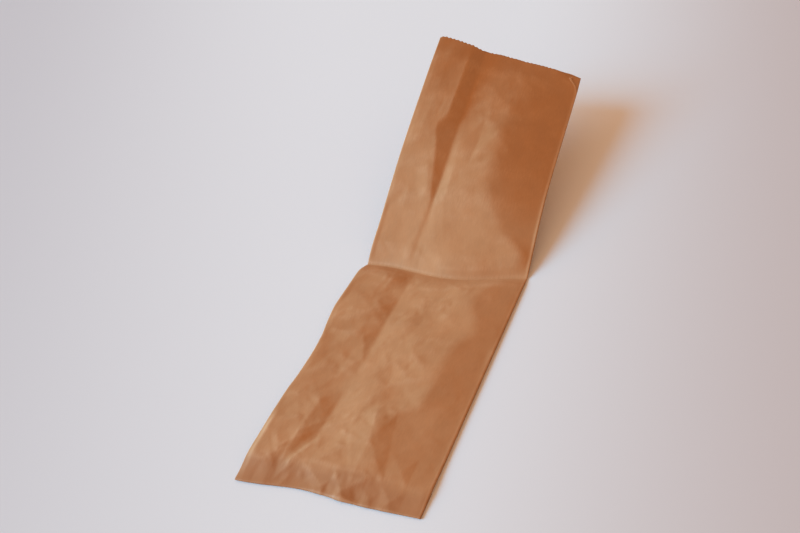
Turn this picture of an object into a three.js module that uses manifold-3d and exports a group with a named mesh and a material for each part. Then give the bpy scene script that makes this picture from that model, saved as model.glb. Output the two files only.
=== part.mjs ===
// Paper bag for one baguette: a single sheet of kraft paper folded into a tube with two side gussets,
// lap-glued down the back, folded over and glued at the bottom, and cut with a toothed knife at the mouth.
// It lies empty on its back. A crease across the middle lets the mouth half stand up from the table,
// twisted, bent to a ridge and bowed along its length.
// Millimetres: x across the bag, y from the bottom to the mouth, z up from the table.
import * as THREE from "three";
import Module from "manifold-3d";

const { clamp, degToRad, lerp, smoothstep } = THREE.MathUtils;

// The folded sheet
const bagWidth = 100; // side fold to side fold
const bagLength = 358; // bottom fold to mouth
const gussetDepth = 31; // how far each side is tucked in
const paperThickness = 0.1;
const seamOverlap = 12; // glued lap down the middle of the back
const flapLength = 15; // bottom fold-over, glued under the back
const flapThickness = 0.5;
const toothPitch = 3; // toothed cut of the mouth
const toothDepth = 0.7;
const backLip = 1.5; // how far the back panel stands out past the front at the mouth
const lipHeight = 2.6; // the cut slants from the back to the front over this height

// The layers
const layerCount = 4; // back, two leaves of a gusset, front
const layerGap = 0.3; // air between neighbouring layers at a loose fold
const pressedGap = 0.1; // the same where the bag is pressed flat
const pressedReach = 26; // the paper swells to its loose height over this length from a pressed fold
const flapRamp = 20; // the back comes down from the flap to the table over this length
const backArch = 1.2; // the middle of the back, clear of the table

// The cross crease and the raised half
const creasePlace = 177.5; // from the bottom fold
const creaseSkew = degToRad(2.4); // the crease runs a little askew
const creaseDip = 6.5; // and sags towards the bottom in its middle
const creaseDipPlace = 55; // from the left side
const creaseDipWidth = 95;
const creaseDipReach = 22; // the sag fades over this length of bag
const creaseDipRise = 45; // the raised half makes up for the sag over this length
const liftAngle = degToRad(16.1); // the raised half above the table
const mouthTwist = degToRad(16); // its left side stands higher than its right
const twistPower = 1.5; // the twist grows towards the mouth
const sideLean = degToRad(2.2); // it leans to the left
const ridgeLeft = 0.65; // share of the ridge's height that the left side keeps
const ridgeRound = 0.3; // how softly the ridge is bent

// The edges
const mouthPull = 7; // the front's right corner draws in at the mouth
const pullReach = 20; // length over which it does
const pullPower = 4; // how close to the corner it stays
const bottomBow = 2.5; // the bottom fold draws in where the bag is thickest
const bottomBowPlace = 38; // from the left side
const bottomBowWidth = 70;
const bottomBowReach = 50; // length over which the bow fades
const edgeWave = 1.6; // the left side swings out and in along the lower half
const edgeWaves = 1.3; // so many times
const edgeHeight = 0.2; // swell at the right side fold

// The front's profile across the bag: from the left side over the left gusset, down into a valley along
// that gusset's inner fold, up to a rise, over a crest and down to the right side.
// Each list goes along the bag: distance from the bottom, then a place from the left or a height.
const leftHeight = [[0, 0.8], [60, 1.8], [177, 2], [222, 2.4], [300, 3.4]];
const fallPlace = [[0, 19], [90, 26], [177, 26], [222, 30], [257, 24]];
const fallHeight = [[0, 1], [40, 2.4], [80, 1.5], [135, 2.4], [177, 1.8], [222, 2.2], [300, 3.4]];
const valleyPlace = [[0, 31], [177, 33], [222, 32], [245, 33]];
const valleyHeight = [[0, 0.9], [177, 1.1], [222, 1.7], [257, 0.5], [358, 0.2]];
const risePlace = [[0, 50], [177, 50], [222, 39], [358, 40]];
const riseHeight = [[0, 1.1], [60, 1.8], [177, 1.8], [222, 2.2], [257, 1.1], [300, 0.5], [358, 0.3]];
const crestPlace = [[0, 66], [50, 60], [65, 75], [125, 85], [150, 76], [177, 88], [205, 80], [245, 62]];
const crestHeight = [[0, 2], [60, 2.8], [125, 2.5], [150, 2.8], [177, 2.2], [222, 2.2], [300, 1.2], [358, 1]];

// The raised half's ridge along the crest, and its bow, both in all layers
const ridgeHeight = [[178, 0], [225, 6.5], [255, 8.5], [300, 7.5], [335, 4.5], [358, 1]];
const bowHeight = [[177, 0], [215, 2], [245, 2.5], [300, 1.5], [358, 0]];

// Dents pressed into the front: place from the left side and from the bottom, half-widths, depth
const dents = [
  { across: 69, along: 31, wide: 10, long: 26, deep: 1.2 },
  { across: 24, along: 32, wide: 9, long: 24, deep: 0.8 },
];

// The mesh
const lowerStations = 17;
const upperStations = 20;
const frontSteps = [3, 2, 2, 3, 4]; // between the places of the front's profile
const backPanelSteps = 3;
const leafSteps = 3; // one leaf of a gusset
const flapSteps = 18; // across the bottom fold-over
const noseSteps = 6; // round of the bottom fold
const bottomWall = 3; // the inside ends this far from the bottom fold
const knifeBelow = 4; // the toothed knife reaches this far under the bag's underside
const knifeAbove = 24;
const knifeBeyond = 40; // and past the mouth

const half = bagWidth / 2;
const tuck = half - gussetDepth; // the gussets' inner folds are this far from the middle
const raisedLength = bagLength - creasePlace;

// A list's value at a distance along the bag.
function along(list, v) {
  const after = list.findIndex(([place]) => place >= v);
  if (after < 0) return list[list.length - 1][1];
  if (after === 0) return list[0][1];
  const [v0, value0] = list[after - 1];
  const [v1, value1] = list[after];
  return lerp(value0, value1, smoothstep(v, v0, v1));
}

// 0 where the bag is pressed flat, at the bottom fold and the cross crease, and 1 where it lies loose.
function looseness(v) {
  return smoothstep(v, 0, pressedReach) * smoothstep(Math.abs(v - creasePlace), 0, pressedReach);
}

// Distance between the middles of neighbouring layers, and from the back's middle to the front's.
function layerPitch(v) {
  return paperThickness + lerp(pressedGap, layerGap, looseness(v));
}

function stackHeight(v) {
  return (layerCount - 1) * layerPitch(v);
}

// The places of the front's profile at v, from the left side fold, with their heights.
function profileKnots(v) {
  return [
    [0, along(leftHeight, v)],
    [along(fallPlace, v), along(fallHeight, v)],
    [along(valleyPlace, v), along(valleyHeight, v)],
    [along(risePlace, v), along(riseHeight, v)],
    [along(crestPlace, v), along(crestHeight, v)],
    [bagWidth, edgeHeight],
  ];
}

function frontSwell(x, v) {
  const knots = profileKnots(v);
  const u = clamp(x + half, 0, bagWidth);
  const after = Math.max(knots.findIndex(([place]) => place >= u), 1);
  const [u0, height0] = knots[after - 1];
  const [u1, height1] = knots[after];
  return lerp(height0, height1, (u - u0) / (u1 - u0));
}

function dentDepth(x, v) {
  let depth = 0;
  for (const dent of dents) {
    const away = Math.hypot((x + half - dent.across) / dent.wide, (v - dent.along) / dent.long);
    depth += dent.deep * smoothstep(1 - away, 0, 1);
  }
  return depth;
}

// Height of the front panel's middle surface over the back's: never less than the stack of layers.
function frontHeight(x, v) {
  return stackHeight(v) + looseness(v) * Math.max(frontSwell(x, v) - dentDepth(x, v), 0);
}

// Height of the back panel's middle surface: on the table, over the flap at the bottom, and arched
// between the gussets.
function backHeight(x, v) {
  const pastFlap = smoothstep(v, flapLength, flapLength + flapRamp);
  const arch = smoothstep(tuck - Math.abs(x), 0, tuck - seamOverlap / 2);
  const archHeight = 2 * paperThickness + backArch * looseness(v);
  return paperThickness / 2 + lerp(flapThickness, arch * archHeight, pastFlap);
}

// How far the raised half is bent up, in all its layers: to a ridge along the crest, and as a bow.
function raisedBend(x, v) {
  const u = clamp(x + half, 0, bagWidth);
  const crest = along(crestPlace, v);
  const left = lerp(ridgeLeft, 1, u / crest);
  const right = (bagWidth - u) / (bagWidth - crest);
  const share = (left + right - Math.hypot(left - right, ridgeRound)) / 2;
  return along(ridgeHeight, v) * share + along(bowHeight, v);
}

// Where a point goes: x across the flat bag, v along it, h above the underside of its back.
// The crease is the line v = creasePlace, and its sag draws the paper on both sides along.
function place(x, v, h) {
  const fromMiddle = Math.abs(x + half - creaseDipPlace) / (creaseDipWidth / 2);
  const dip = creaseDip * smoothstep(1 - fromMiddle, 0, 1);
  const sagged = v - dip * Math.exp(-(((v - creasePlace) / creaseDipReach) ** 2));
  const reach = v < creasePlace ? creasePlace : raisedLength;
  const near = clamp(1 - Math.abs(v - creasePlace) / reach, 0, 1);
  const skew = Math.tan(creaseSkew) * x;
  if (v <= creasePlace) {
    const fromBow = Math.abs(x + half - bottomBowPlace) / (bottomBowWidth / 2);
    const drawnIn = bottomBow * smoothstep(1 - fromBow, 0, 1) * (1 - smoothstep(v, 0, bottomBowReach));
    return new THREE.Vector3(x, sagged - creasePlace + skew * near + drawnIn, h);
  }
  const madeUp = Math.tan(liftAngle) * dip * (1 - smoothstep(v, creasePlace, creasePlace + creaseDipRise));
  const twist = mouthTwist * ((v - creasePlace) / raisedLength) ** twistPower;
  const axis = new THREE.Vector3(-Math.sin(sideLean), Math.cos(sideLean), Math.tan(liftAngle)).normalize();
  const level = new THREE.Vector3(1, 0, 0);
  const normal = new THREE.Vector3().crossVectors(level, axis).normalize();
  const side = level.clone().applyAxisAngle(axis, twist);
  const up = normal.clone().applyAxisAngle(axis, twist);
  return new THREE.Vector3(x, skew, 0)
    .addScaledVector(axis, sagged - creasePlace - skew * (1 - near))
    .addScaledVector(side.sub(level), x)
    .addScaledVector(up, h + madeUp + raisedBend(x, v));
}

// A layer's point at x, at a height over the back and a share of the way from the back to the front.
function layerPoint(x, v, height, share) {
  const nearMouth = smoothstep(v, bagLength - pullReach, bagLength);
  const pulled = x > 0 ? -mouthPull * nearMouth * share * (x / half) ** pullPower : 0;
  const onTable = v < creasePlace ? looseness(v) : 0;
  const swing = onTable * Math.sin((v / creasePlace) * edgeWaves * 2 * Math.PI);
  const waved = x < 0 ? -edgeWave * swing * (x / half) ** 2 : 0;
  return { x: x + pulled + waved, h: backHeight(x, v) + height, lap: 0 };
}

// Places from a to b in equal steps, the first left out.
function stepsTo(a, b, count) {
  return Array.from({ length: count }, (_, i) => lerp(a, b, (i + 1) / count));
}

// The section at v, the sheet's middle line: along the back from the right to the left, round the left
// gusset, along the front to the right, and round the right gusset.
function sectionLine(v) {
  const pitch = layerPitch(v);
  const bend = pitch / 2;
  const points = [];
  const add = (x, height, share) => points.push(layerPoint(x, v, height, share));
  const front = (x) => add(x, frontHeight(x, v), 1);
  const back = (x) => add(x, 0, 0);
  const leaf = (x, upper) => {
    const height = frontHeight(x, v);
    const inward = clamp((half - Math.abs(x)) / gussetDepth, 0, 1);
    const fromPanel = lerp(pitch, height / 2 - bend, inward);
    const above = upper ? height - fromPanel : fromPanel;
    add(x, above, above / height);
  };
  const nose = (x, upper) => add(x, upper ? frontHeight(x, v) - bend : bend, upper ? 1 : 0);
  const tip = (x) => add(x, frontHeight(x, v) / 2, 0.5);

  const lapHalf = seamOverlap / 2;
  const halfway = (tuck + lapHalf) / 2;
  const gussetSide = [half - bend, ...stepsTo(half - bend, tuck, backPanelSteps), halfway];
  gussetSide.forEach(back);
  for (const x of [lapHalf, lapHalf - paperThickness, -lapHalf + paperThickness, -lapHalf]) {
    back(x);
    points[points.length - 1].lap = Math.abs(x) < lapHalf ? paperThickness : 0;
  }
  gussetSide.toReversed().forEach((x) => back(-x));
  nose(-half, false);
  const leafSide = [half - bend, ...stepsTo(half - bend, tuck + bend, leafSteps)];
  leafSide.forEach((x) => leaf(-x, false));
  tip(-tuck);
  leafSide.toReversed().forEach((x) => leaf(-x, true));
  nose(-half, true);
  const stops = profileKnots(v).map(([u]) => clamp(u - half, -half + bend, half - bend));
  front(stops[0]);
  frontSteps.forEach((count, i) => stepsTo(stops[i], stops[i + 1], count).forEach(front));
  nose(half, true);
  leafSide.forEach((x) => leaf(x, true));
  tip(tuck);
  leafSide.toReversed().forEach((x) => leaf(x, false));
  nose(half, false);
  return points;
}

// The section's two faces: the middle line moved half a thickness to each side.
function sectionFace(line, outward) {
  return line.map((point, i) => {
    const before = line[(i + line.length - 1) % line.length];
    const after = line[(i + 1) % line.length];
    const normal = new THREE.Vector2(after.h - before.h, before.x - after.x).normalize();
    const reach = outward ? paperThickness / 2 + point.lap : -paperThickness / 2;
    return new THREE.Vector2(point.x - normal.x * reach, point.h - normal.y * reach);
  });
}

// Stations from a to b, close together at both ends, the first left out.
function crowdedStations(a, b, count) {
  return stepsTo(0, Math.PI, count).map((turn) => lerp(a, b, (1 - Math.cos(turn)) / 2));
}

// Joins rings of equal length into a skin. Each ring is a list of points.
function skin(positions, triangles, rings, turned) {
  const first = positions.length;
  rings.forEach((ring) => positions.push(...ring));
  const size = rings[0].length;
  for (let r = 0; r + 1 < rings.length; r++) {
    for (let i = 0; i < size; i++) {
      const a = first + r * size + i;
      const b = first + r * size + ((i + 1) % size);
      const quad = [a, b, b + size, a + size];
      const order = turned ? [0, 2, 1, 0, 3, 2] : [0, 1, 2, 0, 2, 3];
      triangles.push(...order.map((k) => quad[k]));
    }
  }
  return first;
}

function toSolid(wasm, positions, triangles) {
  const vertProperties = new Float32Array(positions.flatMap((p) => p.toArray()));
  const triVerts = new Uint32Array(triangles);
  return new wasm.Manifold(new wasm.Mesh({ numProp: 3, vertProperties, triVerts }));
}

// The tube: outer skin from the bottom fold to past the mouth, inner skin from the bottom wall on, and
// a paper edge between them at the mouth.
function tubeSolid(wasm) {
  const stations = [
    0,
    bottomWall,
    ...crowdedStations(bottomWall, creasePlace, lowerStations),
    ...crowdedStations(creasePlace, bagLength + backLip + toothDepth, upperStations),
  ];
  const faces = stations.map((v) => {
    const line = sectionLine(v);
    return { v, outer: sectionFace(line, true), inner: sectionFace(line, false) };
  });
  const ring = (face, v) => face.map((p) => place(p.x, v, p.y));
  const positions = [];
  const triangles = [];
  const outer = skin(positions, triangles, faces.map((f) => ring(f.outer, f.v)), false);
  const inner = skin(positions, triangles, faces.slice(1).map((f) => ring(f.inner, f.v)), true);
  const size = faces[0].outer.length;
  for (const [i, j, k] of THREE.ShapeUtils.triangulateShape(faces[0].outer, [])) {
    triangles.push(outer + i, outer + j, outer + k);
  }
  for (const [i, j, k] of THREE.ShapeUtils.triangulateShape(faces[1].inner, [])) {
    triangles.push(inner + i, inner + k, inner + j);
  }
  const outerMouth = outer + (stations.length - 1) * size;
  const innerMouth = inner + (stations.length - 2) * size;
  for (let i = 0; i < size; i++) {
    const j = (i + 1) % size;
    triangles.push(outerMouth + i, outerMouth + j, innerMouth + j);
    triangles.push(outerMouth + i, innerMouth + j, innerMouth + i);
  }
  return toSolid(wasm, positions, triangles);
}

// A prism over the flat bag: one ring at each place across it, a closed outline of points [v, h].
function crosswisePrism(wasm, acrossPlaces, outlineAt) {
  const positions = [];
  const triangles = [];
  const rings = acrossPlaces.map((x, i) => outlineAt(i).map(([v, h]) => place(x, v, h)));
  const first = skin(positions, triangles, rings, false);
  const size = rings[0].length;
  const flat = outlineAt(0).map(([v, h]) => new THREE.Vector2(v, h));
  const last = first + (rings.length - 1) * size;
  for (const [i, j, k] of THREE.ShapeUtils.triangulateShape(flat, [])) {
    triangles.push(first + i, first + k, first + j);
    triangles.push(last + i, last + j, last + k);
  }
  return toSolid(wasm, positions, triangles);
}

// The bottom fold-over: a round nose that wraps the pressed layers, and the flap glued under the back.
function flapSolid(wasm) {
  const top = flapThickness + stackHeight(0) + paperThickness / 2;
  const radius = top / 2;
  const nose = stepsTo(0, Math.PI, noseSteps).map((turn) => [
    -radius * Math.sin(turn),
    radius + radius * Math.cos(turn),
  ]);
  const glueLine = flapThickness + paperThickness / 2;
  const inside = bottomWall / 2;
  const under = [[flapLength, 0], [flapLength, glueLine], [inside, glueLine], [inside, top]];
  const outline = [[0, top], ...nose, ...under];
  const reach = half - layerPitch(0);
  const places = [-reach, ...stepsTo(-reach, reach, flapSteps)];
  return crosswisePrism(wasm, places, () => outline);
}

// What the toothed knife takes off the mouth: teeth side by side, slanted so that the back stays longer.
function knifeSolid(wasm) {
  const teeth = Math.ceil(bagWidth / toothPitch) + 2;
  const reach = (teeth * toothPitch) / 2;
  const places = [-reach, ...stepsTo(-reach, reach, 2 * teeth)];
  const beyond = bagLength + knifeBeyond;
  return crosswisePrism(wasm, places, (i) => {
    const frontCut = bagLength - (i % 2 ? toothDepth : 0);
    const backCut = frontCut + backLip;
    return [
      [backCut, -knifeBelow],
      [beyond, -knifeBelow],
      [beyond, knifeAbove],
      [frontCut, knifeAbove],
      [frontCut, lipHeight],
      [backCut, 0],
    ];
  });
}

const wasm = await Module();
wasm.setup();
const folded = tubeSolid(wasm).add(flapSolid(wasm)).subtract(knifeSolid(wasm)).getMesh();

const geometry = new THREE.BufferGeometry();
geometry.setAttribute("position", new THREE.BufferAttribute(folded.vertProperties, 3));
geometry.setIndex(new THREE.BufferAttribute(folded.triVerts, 1));
geometry.computeBoundingBox();
const box = geometry.boundingBox;
const middle = box.getCenter(new THREE.Vector3());
geometry.translate(-middle.x, -middle.y, -box.min.z);
geometry.computeVertexNormals();

const kraft = new THREE.MeshStandardMaterial({ color: 0xbc8557, roughness: 0.75, metalness: 0 });
const bag = new THREE.Mesh(geometry, kraft);
bag.name = "bag";

const part = new THREE.Group();
part.add(bag);
export default part;
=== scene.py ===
# %% [markdown]
# # A paper baguette bag
# The bag is one sheet of brown kraft paper. It is folded into a tube with a gusset tucked in at each
# side, lap-glued down the back, folded over and glued at the bottom, and cut with a toothed knife at
# the mouth. It lies empty on its back, and a crease across the middle lets the mouth half stand up with
# a twist. One could sculpt such a bag or drop a simulated cloth on a table. Here it is worked out from
# its folds, because then all four layers stay one sheet and every crease lies where a ruler would find
# it. The frame gives the box that the finished bag has to fill, and the bag is placed in the middle of
# it.

# %% The frame
import math

import bpy
import numpy as np
from mathutils import Matrix, Vector


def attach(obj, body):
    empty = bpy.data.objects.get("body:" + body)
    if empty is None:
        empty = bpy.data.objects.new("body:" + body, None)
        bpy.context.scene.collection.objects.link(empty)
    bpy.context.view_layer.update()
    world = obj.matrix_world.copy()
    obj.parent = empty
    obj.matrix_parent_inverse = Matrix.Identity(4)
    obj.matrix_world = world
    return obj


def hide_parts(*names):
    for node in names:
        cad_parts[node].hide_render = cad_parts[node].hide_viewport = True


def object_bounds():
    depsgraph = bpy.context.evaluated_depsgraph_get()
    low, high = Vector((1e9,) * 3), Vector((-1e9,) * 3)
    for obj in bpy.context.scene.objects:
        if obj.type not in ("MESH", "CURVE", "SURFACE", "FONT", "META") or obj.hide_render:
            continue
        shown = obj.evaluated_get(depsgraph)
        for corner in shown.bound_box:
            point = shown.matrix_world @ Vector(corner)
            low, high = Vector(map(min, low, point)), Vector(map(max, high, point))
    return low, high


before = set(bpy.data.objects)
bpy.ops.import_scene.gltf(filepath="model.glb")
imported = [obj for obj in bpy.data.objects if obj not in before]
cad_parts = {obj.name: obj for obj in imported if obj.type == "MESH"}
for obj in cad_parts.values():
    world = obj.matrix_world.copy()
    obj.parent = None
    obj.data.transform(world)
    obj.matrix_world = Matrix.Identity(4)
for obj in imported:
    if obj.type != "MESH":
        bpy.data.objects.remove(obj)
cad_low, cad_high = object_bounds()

# %% [markdown]
# ## The folded sheet
# These are the sizes that one would read off the folded bag with a ruler, in millimetres. A place on
# the bag is given as `u`, the distance from the left side fold, and `v`, the distance from the bottom
# fold. `x` is the same as `u`, but counted from the middle, and `h` is a height over the table. Blender
# works in metres, so the finished points are multiplied by `MM` once, at the end, and everything before
# that can be read like marks on paper.

# %% Sizes
MM = 0.001
BAG_WIDTH = 100.0
BAG_LENGTH = 358.0
GUSSET_DEPTH = 31.0
PAPER = 0.1  # thickness of the sheet
SEAM_OVERLAP = 12.0  # width of the glued lap
FLAP_LENGTH = 15.0
CREASE_PLACE = 177.5

HALF = BAG_WIDTH / 2
TUCK = HALF - GUSSET_DEPTH  # from the middle to the inner fold of a gusset
RAISED_LENGTH = BAG_LENGTH - CREASE_PLACE
sheet_width = 2 * BAG_WIDTH + 4 * GUSSET_DEPTH + SEAM_OVERLAP
print("the flat sheet is", sheet_width, "by", BAG_LENGTH + FLAP_LENGTH, "mm")

# %% [markdown]
# ## Smooth steps
# Paper does not jump: its heights and edges change smoothly along the bag. Such a change could be drawn
# as a curve object, but a few numbers in the script are easier to read and to alter. `ease` goes from 0
# to 1 with a level start and end, and `between` does so from one limit to another. `hump` is 1 at no
# distance and fades on both sides. `along_list` draws a smooth line through a short list of (place,
# value) pairs and never swings past them.

# %% Smooth steps
def ease(share):
    share = np.clip(share, 0, 1)
    return share * share * (3 - 2 * share)


def between(value, limits):
    start, stop = limits
    return ease((value - start) / (stop - start))


def hump(distance, width):
    return np.exp(-((distance / width) ** 2))


def along_list(place, pairs):
    """A smooth curve through (place, value) pairs that never swings past them."""
    places, values = np.array(pairs, float).T
    lengths = np.diff(places)
    slopes = np.diff(values) / lengths
    product = slopes[:-1] * slopes[1:]
    same_way = product > 0
    lean = np.zeros(len(places))
    lean[1:-1] = np.where(same_way, 2 * product / np.where(same_way, slopes[:-1] + slopes[1:], 1), 0)
    after = np.clip(np.searchsorted(places, place), 1, len(places) - 1)
    before = after - 1
    length = lengths[before]
    share = np.clip((place - places[before]) / length, 0, 1)
    climb = values[before] + (values[after] - values[before]) * ease(share)
    return climb + share * (1 - share) * length * ((1 - share) * lean[before] - share * lean[after])


print("a quarter of the way through a step:", ease(0.25))

# %% [markdown]
# ## Where the layers are pressed together
# At the bottom fold and at the cross crease the four layers are pressed flat, and away from there the
# paper springs up. The crease is not straight: its middle dips towards the bottom. One number from 0 to
# 1, the looseness, says how far the paper has sprung up, so that the gaps between the layers and the
# swell of the front can share it. Just below the crease the front comes down on a strip of uneven
# width, which shows as a soft band of shade.

# %% Pressed lines
CREASE_DIP = 6.5
CREASE_DIP_PLACE = 55.0
CREASE_DIP_WIDTH = 95.0
BOTTOM_REACH = 16.0
CREASE_REACH = 16.0
CREASE_SPRING = 2  # power of the curve above the crease
STRIP_REACH = [(0, 12), (33, 16), (50, 15), (75, 11), (100, 10)]
STRIP_SPRING = 1.5  # power of the curve below the crease
PRESSED_GAP = 0.02
LOOSE_GAP = 0.3


def crease_dip(x):
    return CREASE_DIP * ease(1 - np.abs(x + HALF - CREASE_DIP_PLACE) / (CREASE_DIP_WIDTH / 2))


def past_crease(x, v):
    """How far a place lies from the crease, towards the mouth."""
    return v - CREASE_PLACE + crease_dip(x)


def looseness(x, v):
    past = past_crease(x, v)
    above = 1 - np.clip(1 - np.abs(past) / CREASE_REACH, 0, 1) ** CREASE_SPRING
    below = 1 - np.clip(1 - np.abs(past) / along_list(x + HALF, STRIP_REACH), 0, 1) ** STRIP_SPRING
    return ease(v / BOTTOM_REACH) * np.where(past > 0, above, below)


def layer_pitch(x, v):
    """From the middle of one layer of paper to the middle of the next."""
    return PAPER + PRESSED_GAP + (LOOSE_GAP - PRESSED_GAP) * looseness(x, v)


print("layer pitch in mm at the bottom fold:", layer_pitch(0.0, 0.0))
print("layer pitch in mm between the pressed lines:", layer_pitch(0.0, CREASE_PLACE / 2))

# %% [markdown]
# ## The folds of the front
# Across the bag the front is a row of flat strips that meet at folds. From the raised left side it
# falls into a valley along the inner fold of the left gusset, rises over the middle to a crest, and
# goes down to the right side. One could pull such folds out of a plane by hand. Here each fold has two
# lists along the bag, its distance from the left side and its height, so that it can wander and sink as
# the real one does. Each pair in a list is a distance from the bottom and the value there.

# %% Folds of the front
LEFT_HEIGHT = [
    (0, 0.8), (25, 2.3), (45, 3.0), (60, 2.8), (110, 3.1), (150, 3.2),
    (177, 2.8), (222, 2.4), (300, 4.2), (335, 4.4), (358, 4.8),
]
FALL_PLACE = [
    (0, 19), (60, 22), (177, 23), (222, 30), (235, 28), (257, 24), (280, 19), (292, 24), (358, 24),
]
FALL_HEIGHT = [
    (0, 1.0), (20, 2.2), (50, 3.1), (66, 2.0), (95, 1.5), (112, 2.2), (135, 2.4),
    (150, 2.1), (165, 2.3), (222, 2.2), (257, 3.0), (300, 3.8), (358, 3.6),
]
VALLEY_PLACE = [(0, 31), (177, 33), (222, 32), (245, 33), (300, 33), (358, 33)]
VALLEY_HEIGHT = [
    (0, 0.9), (18, 2.2), (35, 2.0), (55, 1.6), (80, 1.9), (110, 1.3), (165, 1.3),
    (190, 1.8), (215, 1.9), (235, 0.9), (257, 0.5), (300, 0.3), (358, 0.2),
]
RISE_PLACE = [(0, 44), (60, 44), (177, 50), (222, 39), (250, 39), (265, 37), (300, 37), (358, 40)]
RISE_HEIGHT = [
    (0, 1.2), (18, 2.3), (45, 3.0), (80, 2.4), (165, 2.1), (190, 2.0),
    (215, 2.4), (235, 2.0), (257, 1.1), (300, 0.5), (358, 0.3),
]
CREST_PLACE = [
    (0, 66), (50, 60), (65, 75), (110, 78), (125, 85), (150, 76),
    (177, 89), (190, 94), (205, 80), (225, 67), (245, 62), (358, 62),
]
CREST_HEIGHT = [
    (0, 1.8), (16, 2.7), (28, 3.6), (45, 4.3), (65, 3.8), (110, 3.4), (125, 2.5),
    (150, 3.2), (177, 1.8), (205, 1.9), (225, 2.4), (257, 1.8), (310, 1.2), (358, 1.0),
]
EDGE_HEIGHT = 0.2
FOLDS = [
    (FALL_PLACE, FALL_HEIGHT),
    (VALLEY_PLACE, VALLEY_HEIGHT),
    (RISE_PLACE, RISE_HEIGHT),
    (CREST_PLACE, CREST_HEIGHT),
]


def front_folds(v):
    """The place and the height of each fold, from the left side to the right side."""
    folds = [(np.zeros_like(v), along_list(v, LEFT_HEIGHT))]
    for places, heights in FOLDS:
        folds.append((along_list(v, places), along_list(v, heights)))
    folds.append((np.full_like(v, BAG_WIDTH), np.full_like(v, EDGE_HEIGHT)))
    return folds


print("heights of the folds at the bottom:", [float(height[0]) for _, height in front_folds(np.zeros(1))])

# %% [markdown]
# ## Rounded joints
# Stiff paper turns sharply at a pressed fold and gently over a crest. A bevel could round the joints of
# a finished mesh, but it would need an edge along every fold. Here the height is averaged over a short
# way across the bag instead, shorter at the folds on the left and longer at the crest.

# %% Swell of the front
FOLD_ROUNDING = 0.7
CREST_ROUNDING = 3.0
ROUNDING_CHANGE = (45.0, 57.0)
ROUNDING_STEPS = 9


def strip_height(u, folds):
    """Straight from fold to fold."""
    height = folds[0][1]
    for (u0, h0), (u1, h1) in zip(folds, folds[1:]):
        height = np.where(u > u0, h0 + (h1 - h0) * np.clip((u - u0) / (u1 - u0), 0, 1), height)
    return height


def front_swell(x, v):
    folds = front_folds(v)
    u = x + HALF
    rounding = FOLD_ROUNDING + (CREST_ROUNDING - FOLD_ROUNDING) * between(u, ROUNDING_CHANGE)
    total = np.zeros_like(v)
    for step in np.linspace(-1, 1, ROUNDING_STEPS):
        total = total + strip_height(np.clip(u + step * rounding, 0, BAG_WIDTH), folds)
    return total / ROUNDING_STEPS


print("swell in the middle of the mouth:", front_swell(np.zeros(1), np.full(1, BAG_LENGTH)))

# %% [markdown]
# ## Creases
# Handling has left creases in the front. Each one is a line through a few places, with a depth and with
# a width on its left and on its right, so that a steep side can meet a gentle one. A negative depth is
# a ridge. Cutting the creases into a mesh would need an edge along each of them. Adding them to the
# heights of the grid needs only the distance from the line.

# %% Creases
# each crease: its line, its depth, its width on the left and on the right
CREASES = [
    ([(28, 224), (21, 250)], -0.45, 8, 4),
    ([(9, 262), (10, 300), (11, 352)], -0.35, 13, 11),
    ([(9, 31), (17, 16)], -0.35, 7, 3),
    ([(31, 222), (30, 200), (28, 180)], 0.2, 3, 3),
    ([(0, 19), (10, 13)], -0.3, 5, 5),
    ([(20, 4), (26, 17), (33, 31)], -0.5, 2.5, 4),
    ([(18, 1), (19.5, 7), (18, 14)], 0.4, 3, 6),
    ([(10, 95), (22, 118), (33, 124)], -0.25, 6, 5),
    ([(33, 82), (50, 92), (72, 107)], -0.3, 9, 7),
    ([(36, 160), (48, 150), (66, 155)], 0.2, 6, 6),
]
CREASE_SOFTNESS = 0.7
CREASE_POWER = 1.2
CREASE_FADE = 10.0
FADE_LEAD = 0.3  # share of the fade that lies past the end of the line


def along_line(u, v, line):
    """The distance from a line, the side one is on, the way run along it so far, and its whole length."""
    nearest = np.full(u.shape, np.inf)
    on_right = np.zeros(u.shape, bool)
    run = np.zeros(u.shape)
    start = 0.0
    for (u0, v0), (u1, v1) in zip(line, line[1:]):
        du = u1 - u0
        dv = v1 - v0
        length = math.hypot(du, dv)
        share = np.clip(((u - u0) * du + (v - v0) * dv) / length**2, 0, 1)
        away = np.hypot(u - u0 - share * du, v - v0 - share * dv)
        closer = away < nearest
        nearest = np.where(closer, away, nearest)
        on_right = np.where(closer, (u - u0) * dv - (v - v0) * du > 0, on_right)
        run = np.where(closer, start + share * length, run)
        start += length
    return nearest, on_right, run, start


def crease_share(u, v, line, left, right):
    """1 along the middle of a crease, falling to 0 at its two sides and past its ends."""
    away, on_right, run, length = along_line(u, v, line)
    fade = min(CREASE_FADE, length / 2)
    lead = FADE_LEAD * fade
    ends = ease((run + lead) / fade) * ease((length - run + lead) / fade)
    width = np.where(on_right, right, left)
    return ends * np.clip(1 - np.hypot(away, CREASE_SOFTNESS) / width, 0, 1) ** CREASE_POWER


def crease_relief(u, v, creases):
    relief = np.zeros(u.shape)
    for line, depth, left, right in creases:
        relief -= depth * crease_share(u, v, line, left, right)
    return relief


print("creases of the front:", len(CREASES))

# %% [markdown]
# ## Flat-sided dents
# Stiff paper makes no round bumps: where it buckles, it breaks into flat sides that meet in a point.
# Each dent is such a low pyramid, given by its outline, its tip and its height. A negative height
# sinks. The sides that face the light turn pale and the others dark, and that is most of what one sees
# on the front of this bag. A displacement picture could do it too, but a list of corners stays sharp at
# any size.

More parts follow.
